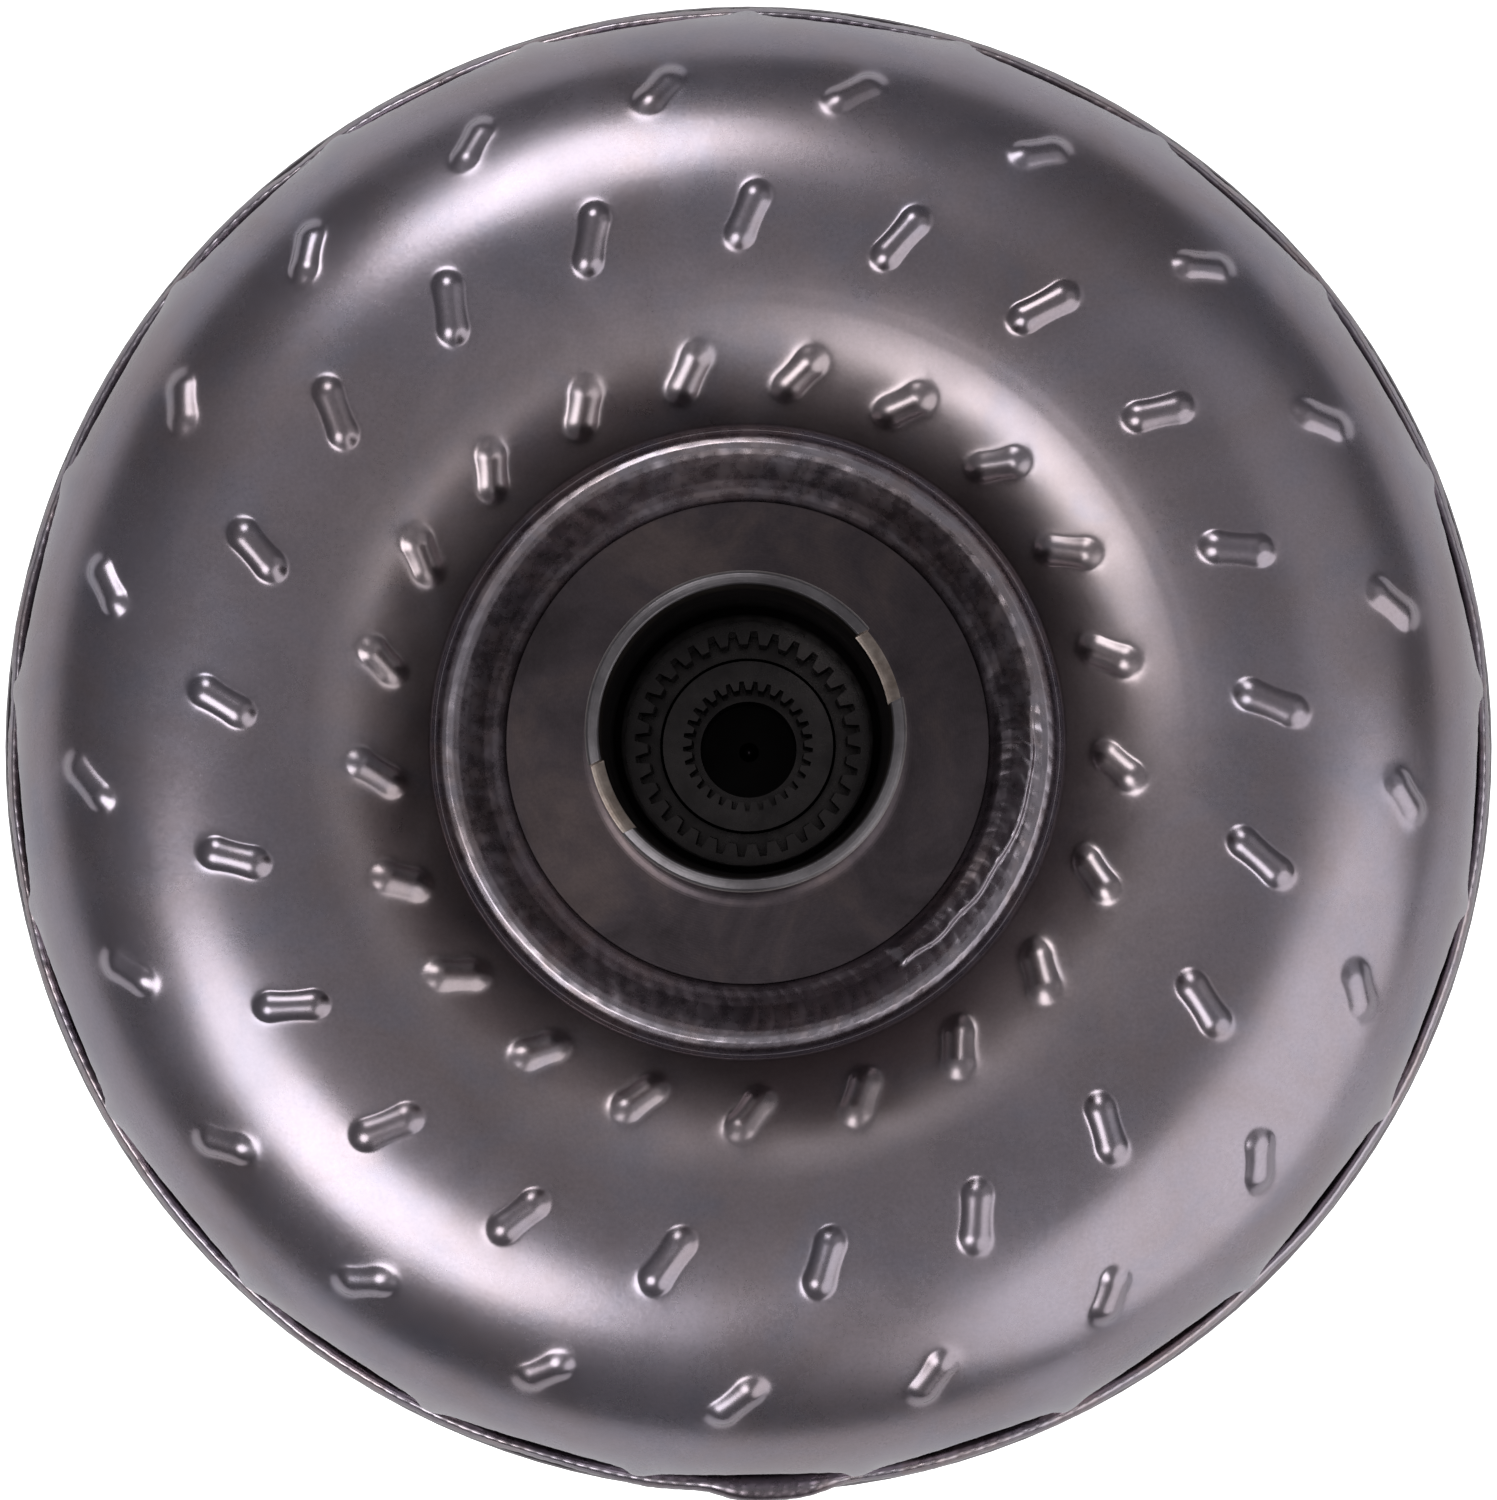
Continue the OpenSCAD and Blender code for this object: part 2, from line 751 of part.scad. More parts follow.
race_washer(61.05);  // turbine_bearing_lower_race
cage(turbine_needle_z);  // turbine_bearing_cage
needle_set(turbine_needle_z);  // turbine_bearing_needles
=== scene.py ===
import json
import math

import bmesh
import bpy
import numpy as np
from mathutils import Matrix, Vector


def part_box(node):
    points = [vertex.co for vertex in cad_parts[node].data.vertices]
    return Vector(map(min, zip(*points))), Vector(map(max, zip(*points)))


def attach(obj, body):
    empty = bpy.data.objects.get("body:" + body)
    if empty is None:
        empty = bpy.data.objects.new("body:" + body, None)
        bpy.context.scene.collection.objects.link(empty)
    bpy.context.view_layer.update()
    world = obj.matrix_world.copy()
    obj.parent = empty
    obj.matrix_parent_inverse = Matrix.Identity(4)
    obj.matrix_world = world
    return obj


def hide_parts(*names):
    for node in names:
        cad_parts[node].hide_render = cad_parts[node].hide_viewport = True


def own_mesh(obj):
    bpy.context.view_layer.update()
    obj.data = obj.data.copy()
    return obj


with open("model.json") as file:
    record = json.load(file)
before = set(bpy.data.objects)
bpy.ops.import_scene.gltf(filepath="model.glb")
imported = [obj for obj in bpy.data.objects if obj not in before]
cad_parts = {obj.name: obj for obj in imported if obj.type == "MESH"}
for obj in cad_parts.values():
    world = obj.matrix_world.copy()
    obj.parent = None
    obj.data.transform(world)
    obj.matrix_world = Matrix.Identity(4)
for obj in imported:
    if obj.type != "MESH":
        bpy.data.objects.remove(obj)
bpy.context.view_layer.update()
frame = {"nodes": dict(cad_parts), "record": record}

MM = 0.001
rng = np.random.default_rng(21)
scene = bpy.context.scene

# ---------------------------------------------------------------- camera

CAMERA_PLACE = (2.2 * MM, -14.2 * MM, 688.9 * MM)
CAMERA_TILT = (math.atan(0.0218), 0.0034, 0)
FOCAL_LENGTH = 85.15
SENSOR_WIDTH = 36
camera = bpy.data.objects.new("camera", bpy.data.cameras.new("camera"))
camera.data.lens = FOCAL_LENGTH
camera.data.sensor_width = SENSOR_WIDTH
camera.data.clip_start, camera.data.clip_end = 0.05, 20
camera.location = CAMERA_PLACE
camera.rotation_euler = CAMERA_TILT
scene.collection.objects.link(camera)
scene.camera = camera

# ---------------------------------------------------------------- material kit


def node(tree, kind, inputs=None, **props):
    """A shader node. Each input is a number, a colour or another node's output."""
    made = tree.nodes.new(kind)
    for key, value in props.items():
        setattr(made, key, value)
    for key, value in (inputs or {}).items():
        if isinstance(value, bpy.types.NodeSocket):
            tree.links.new(value, made.inputs[key])
        else:
            made.inputs[key].default_value = value
    return made


def ramp(tree, factor, stops):
    """A colour ramp with (position, colour) stops; a colour may be one number."""
    made = node(tree, "ShaderNodeValToRGB", {0: factor})
    elements = made.color_ramp.elements
    while len(elements) < len(stops):
        elements.new(1)
    for element, (place, colour) in zip(elements, stops):
        element.position = place
        element.color = (*colour, 1) if isinstance(colour, tuple) else (colour,) * 3 + (1,)
    return made.outputs[0]


def noise(tree, where, scale, detail=4, rough=0.55, distort=0.0):
    inputs = {"Vector": where, "Scale": scale, "Detail": detail, "Roughness": rough, "Distortion": distort}
    return node(tree, "ShaderNodeTexNoise", inputs).outputs[0]


def math_node(tree, operation, a, b=0.0):
    return node(tree, "ShaderNodeMath", {0: a, 1: b}, operation=operation).outputs[0]


def times(tree, a, b):
    return math_node(tree, "MULTIPLY", a, b)


def layers(tree, coarse, share, fine):
    """Two noises added, the first with this share of the whole."""
    return math_node(tree, "ADD", times(tree, coarse, share), times(tree, fine, 1 - share))


def drift(tree, where, scale, detail, reach):
    """A slow noise around zero that keeps the border between two tones from being a perfect ring."""
    centred = math_node(tree, "SUBTRACT", noise(tree, where, scale, detail, 0.6), 0.5)
    return times(tree, centred, reach)


def mix(tree, factor, a, b, blend="MIX"):
    made = node(tree, "ShaderNodeMix", data_type="RGBA", blend_type=blend)
    for socket, value in ((0, factor), (6, a), (7, b)):
        if isinstance(value, bpy.types.NodeSocket):
            tree.links.new(value, made.inputs[socket])
        elif socket == 0:
            made.inputs[0].default_value = value
        else:
            made.inputs[socket].default_value = (*value, 1)
    return made.outputs[2]


def place(tree):
    """The point in the part's frame."""
    return node(tree, "ShaderNodeTexCoord").outputs["Object"]


def from_axis(tree, where):
    """A point's distance from the shaft axis."""
    flat = node(tree, "ShaderNodeVectorMath", {0: where, 1: (1, 1, 0)}, operation="MULTIPLY").outputs[0]
    return node(tree, "ShaderNodeVectorMath", {0: flat}, operation="LENGTH").outputs["Value"]


def start(name, metallic=1.0, **sockets):
    material = bpy.data.materials.new(name)
    material.use_nodes = True
    tree = material.node_tree
    shader = tree.nodes["Principled BSDF"]
    shader.inputs["Metallic"].default_value = metallic
    for key, value in sockets.items():
        shader.inputs[key.replace("_", " ")].default_value = value
    return material, tree, shader


def bump(tree, shader, parts):
    """Stacks (height, strength, distance) bumps onto the shader's normal."""
    normal = None
    for height, strength, distance in parts:
        inputs = {"Height": height, "Strength": strength, "Distance": distance}
        if normal is not None:
            inputs["Normal"] = normal
        normal = node(tree, "ShaderNodeBump", inputs).outputs[0]
    tree.links.new(normal, shader.inputs["Normal"])


def metal(name, dark, light, rough, patch, grain, grain_bump, turned):
    """Bare metal: patchy tone, fine grain and, where it was turned, faint rings."""
    material, tree, shader = start(name)
    where = place(tree)
    broad = noise(tree, where, patch, 6, 0.6, 0.4)
    fine = noise(tree, where, grain, 3, 0.6)
    tone = ramp(tree, broad, [(0.32, dark), (0.68, light)])
    speck = ramp(tree, fine, [(0.3, 0.82), (0.7, 1.0)])
    tone = mix(tree, 1.0, tone, speck, "MULTIPLY")
    tree.links.new(tone, shader.inputs["Base Color"])
    blotch = noise(tree, where, patch * 2.3, 4, 0.65)
    both = layers(tree, blotch, 0.7, fine)
    tree.links.new(ramp(tree, both, [(0.3, rough[0]), (0.7, rough[1])]), shader.inputs["Roughness"])
    parts = [(fine, grain_bump, 0.00005)]
    if turned:
        away = from_axis(tree, where)
        rings = math_node(tree, "SINE", times(tree, away, 2 * math.pi / (0.35 * MM)))
        parts.append((rings, turned, 0.00003))
    bump(tree, shader, parts)
    return material


def shell_material():
    """Pressed steel: violet-grey, browner towards the hub weld and lighter there as painted light, with a
    fine grain and a cloudy tone.
    """
    material, tree, shader = start("pressed_steel")
    where = place(tree)
    away = from_axis(tree, where)
    wander = drift(tree, where, 22, 5, 0.034)
    reach = times(tree, math_node(tree, "ADD", away, wander), 1 / 0.14)
    # painted light: the first two stops, nearest the hub weld, are lighter so that the inner slope looks lit;
    # their browner hue is heat colour
    tint_and_painted_light = ramp(tree, reach, [(0.37, (0.350, 0.296, 0.305)), (0.44, (0.310, 0.264, 0.276)),
                              (0.53, (0.265, 0.228, 0.252)), (0.63, (0.270, 0.240, 0.276)),
                              (0.80, (0.285, 0.255, 0.293)), (0.93, (0.296, 0.264, 0.302))])
    stain = noise(tree, where, 30, 5, 0.6, 0.8)
    tint_and_painted_light = mix(tree, ramp(tree, stain, [(0.42, 0.0), (0.66, 0.6)]), tint_and_painted_light, (0.245, 0.198, 0.202))
    blush = noise(tree, where, 55, 4, 0.6, 0.5)
    tint_and_painted_light = mix(tree, ramp(tree, blush, [(0.50, 0.0), (0.70, 0.5)]), tint_and_painted_light, (0.215, 0.214, 0.268))
    fine = noise(tree, where, 1500, 3, 0.6)
    tint_and_painted_light = mix(tree, 1.0, tint_and_painted_light, ramp(tree, fine, [(0.3, 0.88), (0.7, 1.0)]), "MULTIPLY")
    tree.links.new(tint_and_painted_light, shader.inputs["Base Color"])
    patch = noise(tree, where, 48, 4, 0.55, 0.5)
    both = layers(tree, patch, 0.8, fine)
    gloss = ramp(tree, both, [(0.30, 0.23), (0.70, 0.32)])
    dull = ramp(tree, reach, [(0.40, 0.04), (0.60, 0.0)])
    tree.links.new(math_node(tree, "ADD", gloss, dull), shader.inputs["Roughness"])
    peel = noise(tree, where, 620, 3, 0.5)
    bump(tree, shader, [(peel, 0.08, 0.00010), (fine, 0.08, 0.00004)])
    return material


def weld_material():
    """Weld metal: dark violet-grey with a little brown heat colour, smooth, with small flecks of scale."""
    material, tree, shader = start("weld_metal")
    where = place(tree)
    away = from_axis(tree, where)
    heat = noise(tree, where, 60, 5, 0.6, 1.0)
    tone = ramp(tree, heat, [(0.30, (0.205, 0.184, 0.210)), (0.48, (0.250, 0.225, 0.252)),
                             (0.60, (0.262, 0.220, 0.230)), (0.72, (0.285, 0.256, 0.284))])
    scale = noise(tree, where, 380, 5, 0.65)
    tone = mix(tree, ramp(tree, scale, [(0.62, 0.0), (0.78, 0.25)]), tone, (0.080, 0.070, 0.074))
    # painted shade and painted highlight across each bead: the hub bead is darker on its inner flank and
    # lighter from the crest out; the seam bead has a dark groove beside the shell, a light band along its
    # crest and a darker outer flank
    across = times(tree, away, 5)
    painted_shade_and_highlight = ramp(tree, across, [(0.20, (0.80, 0.78, 0.78)), (0.222, (0.82, 0.80, 0.80)),
                                (0.236, (1.15, 1.15, 1.15)),
                                (0.630, (0.34, 0.32, 0.32)), (0.6345, (0.42, 0.39, 0.39)),
                                (0.6365, (1.35, 1.35, 1.35)), (0.641, (1.35, 1.35, 1.35)),
                                (0.645, (0.6, 0.55, 0.55))])
    tone = mix(tree, 1.0, tone, painted_shade_and_highlight, "MULTIPLY")
    tree.links.new(tone, shader.inputs["Base Color"])
    tree.links.new(ramp(tree, scale, [(0.35, 0.22), (0.7, 0.36)]), shader.inputs["Roughness"])
    bump(tree, shader, [(noise(tree, where, 520, 4, 0.6), 0.16, 0.0001)])
    return material


def hub_material():
    """Turned steel: dark on the flange, brown round the slots, brighter on the end face, with painted shade
    in the bore.
    """
    material, tree, shader = start("hub_steel")
    where = place(tree)
    away = from_axis(tree, where)
    height = node(tree, "ShaderNodeSeparateXYZ", {0: where}).outputs["Z"]
    wander = drift(tree, where, 45, 5, 0.004)
    level = times(tree, height, 1 / 0.2)
    dull_tone = ramp(tree, noise(tree, where, 42, 5, 0.62, 0.8),
                     [(0.30, (0.040, 0.033, 0.036)), (0.50, (0.066, 0.054, 0.060)),
                      (0.66, (0.098, 0.076, 0.076))])
    end_tone = ramp(tree, noise(tree, where, 160, 4, 0.6),
                    [(0.3, (0.095, 0.086, 0.092)), (0.7, (0.150, 0.140, 0.148))])
    slot_tone = ramp(tree, noise(tree, where, 220, 5, 0.7),
                     [(0.3, (0.13, 0.10, 0.085)), (0.7, (0.30, 0.255, 0.23))])
    low_level = math_node(tree, "ADD", level, times(tree, wander, 2.0))
    tone = mix(tree, ramp(tree, low_level, [(0.775, 0.0), (0.782, 1.0)]), dull_tone, slot_tone)
    tone = mix(tree, ramp(tree, level, [(0.8235, 0.0), (0.8265, 1.0)]), tone, end_tone)
    # painted shade: the bore below the end face is painted nearly black, all but the ledge of its step, which
    # keeps its lighter tone
    inside = ramp(tree, times(tree, away, 10), [(0.2168, 1.0), (0.2176, 0.0)])
    below_end = ramp(tree, level, [(0.8245, 1.0), (0.8275, 0.0)])
    ledge = ramp(tree, level, [(0.5400, 1.0), (0.5420, 0.0), (0.5505, 0.0), (0.5530, 1.0)])
    painted_bore_shade = times(tree, times(tree, inside, below_end), ledge)
    tone = mix(tree, painted_bore_shade, tone, (0.030, 0.027, 0.028))
    fine = noise(tree, where, 1600, 3, 0.6)
    tone = mix(tree, 1.0, tone, ramp(tree, fine, [(0.3, 0.85), (0.7, 1.0)]), "MULTIPLY")
    tree.links.new(tone, shader.inputs["Base Color"])
    gloss = ramp(tree, noise(tree, where, 110, 5, 0.65, 0.5), [(0.3, 0.30), (0.7, 0.42)])
    shine = ramp(tree, level, [(0.8235, 0.0), (0.8265, -0.12)])
    tree.links.new(math_node(tree, "ADD", gloss, shine), shader.inputs["Roughness"])
    rings = math_node(tree, "SINE", times(tree, away, 2 * math.pi / (0.42 * MM)))
    bump(tree, shader, [(rings, 0.06, 0.00003), (fine, 0.14, 0.00005)])
    return material


def cover_material():
    """Pressed steel like the shell's, with brown smears and a darker violet band on the wall, and painted
    shade: darker on the wall's top by the seam weld and nearly black inside near the axis.
    """
    material, tree, shader = start("cover_steel")
    where = place(tree)
    away = from_axis(tree, where)
    height = node(tree, "ShaderNodeSeparateXYZ", {0: where}).outputs["Z"]
    broad = noise(tree, where, 26, 6, 0.6, 0.5)
    tone = ramp(tree, broad, [(0.32, (0.215, 0.186, 0.208)), (0.55, (0.262, 0.228, 0.254)),
                              (0.72, (0.300, 0.262, 0.284))])
    smear = noise(tree, where, 70, 5, 0.65, 1.1)
    tone = mix(tree, ramp(tree, smear, [(0.56, 0.0), (0.74, 0.55)]), tone, (0.165, 0.125, 0.112))
    wander = drift(tree, where, 34, 4, 0.012)
    level = times(tree, math_node(tree, "ADD", height, wander), 10)
    tone = mix(tree, ramp(tree, level, [(0.50, 0.0), (0.56, 0.55), (0.62, 0.2)]), tone, (0.150, 0.118, 0.150))
    # painted shade: the top of the wall, under the seam weld, is painted darker
    tone = mix(tree, ramp(tree, times(tree, height, 10), [(0.63, 0.0), (0.67, 0.8)]), tone,
               (0.110, 0.096, 0.104))
    # painted shade: the inside near the axis, seen down the bore, is painted nearly black
    near_axis = ramp(tree, times(tree, away, 10), [(0.55, 1.0), (0.75, 0.0)])
    above_face = ramp(tree, times(tree, height, 10), [(0.135, 0.0), (0.145, 1.0)])
    inner = times(tree, near_axis, above_face)
    tone = mix(tree, inner, tone, (0.012, 0.011, 0.011))
    fine = noise(tree, where, 1500, 3, 0.6)
    tone = mix(tree, 1.0, tone, ramp(tree, fine, [(0.3, 0.86), (0.7, 1.0)]), "MULTIPLY")
    tree.links.new(tone, shader.inputs["Base Color"])
    gloss = ramp(tree, noise(tree, where, 52, 5, 0.6), [(0.3, 0.28), (0.7, 0.42)])
    tree.links.new(gloss, shader.inputs["Roughness"])
    bump(tree, shader, [(noise(tree, where, 620, 3, 0.5), 0.10, 0.0001), (fine, 0.10, 0.00004)])
    return material


def lining_material():
    material, tree, shader = start("friction_paper", 0.0, Coat_Weight=0.25, Coat_Roughness=0.3)
    where = place(tree)
    fibre = noise(tree, where, 900, 8, 0.75)
    tone = ramp(tree, fibre, [(0.3, (0.045, 0.026, 0.015)), (0.7, (0.15, 0.085, 0.045))])
    tree.links.new(tone, shader.inputs["Base Color"])
    tree.links.new(ramp(tree, fibre, [(0.3, 0.55), (0.7, 0.8)]), shader.inputs["Roughness"])
    bump(tree, shader, [(fibre, 0.6, 0.00012)])
    return material


def polymer_material():
    material, tree, shader = start("seal_polymer", 0.0)
    where = place(tree)
    fine = noise(tree, where, 1200, 4, 0.6)
    tone = ramp(tree, fine, [(0.3, (0.10, 0.045, 0.02)), (0.7, (0.16, 0.08, 0.035))])
    tree.links.new(tone, shader.inputs["Base Color"])
    tree.links.new(ramp(tree, fine, [(0.3, 0.35), (0.7, 0.5)]), shader.inputs["Roughness"])
    bump(tree, shader, [(fine, 0.2, 0.00005)])
    return material


# dark tone, light tone, roughness range, noise scale of the patches and of the grain,
# strength of the grain's bump and of the turned rings' bump
METALS = {
    # the oiled_steel tones are painted shade: its parts are seen deep in the bore, and their darkness stands
    # in for the shade there
    "oiled_steel": ((0.055, 0.050, 0.051), (0.095, 0.085, 0.084), (0.22, 0.34), 90, 1400, 0.08, 0),
    "blade_steel": ((0.36, 0.35, 0.36), (0.48, 0.47, 0.48), (0.26, 0.4), 40, 1400, 0.15, 0),
    "plain_steel": ((0.40, 0.40, 0.41), (0.55, 0.55, 0.56), (0.24, 0.38), 55, 1400, 0.15, 0.1),
    "hard_steel": ((0.50, 0.50, 0.52), (0.64, 0.64, 0.66), (0.14, 0.26), 70, 1400, 0.06, 0),
    "spring_steel": ((0.13, 0.14, 0.19), (0.27, 0.27, 0.31), (0.25, 0.38), 90, 1400, 0.15, 0),
    "cast_aluminium": ((0.60, 0.60, 0.61), (0.76, 0.76, 0.77), (0.36, 0.5), 60, 900, 0.5, 0),
    "brass_cage": ((0.55, 0.42, 0.20), (0.72, 0.57, 0.30), (0.28, 0.4), 80, 1400, 0.15, 0),
    "bronze_washer": ((0.42, 0.29, 0.15), (0.56, 0.40, 0.22), (0.34, 0.5), 80, 1200, 0.4, 0),
}
MATERIALS = {
    "shell_steel": shell_material(),
    "weld_metal": weld_material(),
    "hub_steel": hub_material(),
    "cover_steel": cover_material(),
    "friction_paper": lining_material(),
    "seal_polymer": polymer_material(),
}
MATERIALS.update({slot: metal(slot, *look) for slot, look in METALS.items()})
SLOT_OF = {part["node"]: part["material_slot"] for part in frame["record"]["subparts"]}
for name, thing in frame["nodes"].items():
    thing.data.materials.clear()
    thing.data.materials.append(MATERIALS[SLOT_OF[name]])

# ---------------------------------------------------------------- mesh kit


def make(name, points, faces, body, stands_for, sharp):
    """A piece from points and faces that rides on a body and stands for CAD nodes."""
    mesh = bpy.data.meshes.new(name)
    mesh.from_pydata([tuple(p) for p in points], [], [tuple(f) for f in faces])
    mesh.validate()
    piece = bpy.data.objects.new(name, mesh)
    scene.collection.objects.link(piece)
    return finish_piece(piece, body, stands_for, sharp)


def finish_piece(piece, body, stands_for, sharp):
    """Smooths and paints a piece, hangs it on its body and hides the CAD nodes it stands for. Edges over the
    sharp angle, in degrees, stay crisp.
    """
    mesh = piece.data
    mesh.polygons.foreach_set("use_smooth", [True] * len(mesh.polygons))
    if sharp:
        mesh.set_sharp_from_angle(angle=math.radians(sharp))
    slot = SLOT_OF[stands_for[0]]
    mesh.materials.clear()
    mesh.materials.append(MATERIALS[slot])
    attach(piece, body)
    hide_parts(*stands_for)
    return piece


def wrap(rows):
    """Points and quads of rings stacked into a closed loop: rows is (rings, points round, 3)."""
    m, n = rows.shape[:2]
    i, j = np.meshgrid(np.arange(m), np.arange(n), indexing="ij")
    a, b = i * n + j, i * n + (j + 1) % n
    c, d = (i + 1) % m * n + (j + 1) % n, (i + 1) % m * n + j
    return rows.reshape(-1, 3), np.stack([a, b, c, d], -1).reshape(-1, 4)


def even(points, step):
    """A polyline resampled at even steps of length."""
    points = np.asarray(points, float)
    run = np.concatenate([[0], np.cumsum(np.hypot(*np.diff(points, axis=0).T))])
    at = np.linspace(0, run[-1], max(2, int(round(run[-1] / step)) + 1))
    return np.stack([np.interp(at, run, points[:, k]) for k in (0, 1)], -1)


def ease(value, low, high):
    """0 below low, 1 above high, smooth between."""
    t = np.clip((value - low) / (high - low), 0, 1)
    return t * t * (3 - 2 * t)


def turn_gap(angle, centre):
    """The signed angle from centre, between -pi and pi."""
    return (angle - centre + np.pi) % (2 * np.pi) - np.pi


def soft_noise(angle, along, count, longest, shortest, radius):
    """Smooth unevenness about one unit high, from waves between two lengths, that closes round the axis."""
    total = 0
    for _ in range(count):
        length = longest * (shortest / longest) ** rng.random()
        heading = rng.random() * 2 * np.pi
        around = np.round(2 * np.pi * radius / length * np.cos(heading))
        wave = around * angle + 2 * np.pi / length * np.sin(heading) * along
        total = total + np.cos(wave + rng.random() * 2 * np.pi)
    return total / math.sqrt(count / 2)


# ---------------------------------------------------------------- impeller shell

SHOULDER_Z = 78 * MM
RISE, RISE_IN = 34 * MM, 27 * MM
CREST_R = 87 * MM
RIM_R = 125.5 * MM
RIM_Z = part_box("impeller_shell")[0].z
HALF_OUT, HALF_IN = RIM_R - CREST_R, 42 * MM
LIP_R = 52.6 * MM
SHELL_T = 4 * MM
FLATS = 21
SECTOR = 2 * np.pi / FLATS
FLAT_DEPTH = 2.4 * MM
FLAT_Z = 73 * MM
# height of the ridge at the corners between flats, depth of the hollow round a bump,
# and how far a bump reaches along the section
RIDGE = 0.85 * MM
DIMPLE = 0.06 * MM
BUMP_REACH = 12 * MM
# mesh steps along the section, away from the bumps and on them
COARSE_STEP, FINE_STEP = 0.95 * MM, 0.34 * MM
# mesh columns of one sector, to each side of the bump and over it,
# and the share of the sector that the fine ones take to each side of its middle
SIDE_COLUMNS, BUMP_COLUMNS, BUMP_SHARE = 14, 38, 0.18


def shell_section(thick, count=400):
    """The shell's section from the shoulder over the crest to the inner lip."""
    out = np.linspace(0, np.pi / 2, count)
    last = math.asin((CREST_R - LIP_R) / (HALF_IN - thick))
    inward = np.linspace(0, last, count)[1:]
    r = np.concatenate([CREST_R + (HALF_OUT - thick) * np.cos(out),
                        CREST_R - (HALF_IN - thick) * np.sin(inward)])
    z = np.concatenate([SHOULDER_Z + (RISE - thick) * np.sin(out),
                        SHOULDER_Z + RISE - thick - (RISE_IN - thick) * (1 - np.cos(inward))])
    return np.stack([r, z], -1)


# radius, angle back from +Y, lean from radial, half length, half width, height, softness of the foot
BUMP_RINGS = ((61.2, -9.0, 35, 5.4, 3.3, 1.45, 0.65), (85.7, 0.0, 27, 6.3, 3.25, 1.50, 0.46),
              (108.4, 9.4, 45, 5.7, 3.3, 1.40, 0.60))
# the line that the blades, and so the bumps, follow across the shell:
# radius, angle back from +Y, lean from radial
BLADE_LINE = ((50, -14.0, 20), (61.2, -9.0, 35), (85.7, 0.0, 27), (108.4, 9.4, 45), (125.5, 360 / FLATS, 30))


def blade_line(radius):
    """The blades' angle back from +Y at a radius, as a smooth curve through BLADE_LINE."""
    at, back, lean = np.array(BLADE_LINE).T
    slope = np.degrees(np.tan(np.radians(lean)) / at)
    i = np.clip(np.searchsorted(at, radius / MM, "right") - 1, 0, len(at) - 2)
    width = at[i + 1] - at[i]
    t = np.clip((radius / MM - at[i]) / width, 0, 1)
    line = back[i] * (1 + 2 * t) * (1 - t) ** 2 + back[i + 1] * t * t * (3 - 2 * t)
    return np.radians(line + width * (slope[i] * t * (1 - t) ** 2 - slope[i + 1] * t * t * (1 - t)))


def pillow(gap, half, high, soft):
    """Height of a bump whose section is a circular arc, faired into the plate round its foot."""
    foot = 2 * math.atan(high / np.mean(half))
    arc = np.sqrt(1 - (np.minimum(gap / half, 1) * math.sin(foot)) ** 2) - math.cos(foot)
    level = high * arc / (1 - math.cos(foot)) - np.maximum(gap - half, 0) * math.tan(foot)
    return (level + np.sqrt(level ** 2 + soft ** 2)) / 2


def shell_rows(section, run):
    """Even steps along the section, finer where the bumps are."""
    centres = [np.interp(-ring[0] * MM, -section[:, 0], run) for ring in BUMP_RINGS]
    reach = [(ring[3] * math.cos(math.radians(ring[2])) + 3.2) * MM for ring in BUMP_RINGS]
    at = [0.0]
    while at[-1] < run[-1]:
        near = min(abs(at[-1] - centre) - wide for centre, wide in zip(centres, reach))
        at.append(at[-1] + (FINE_STEP if near < 0 else COARSE_STEP))
    at[-1] = run[-1]
    return np.array(at), centres


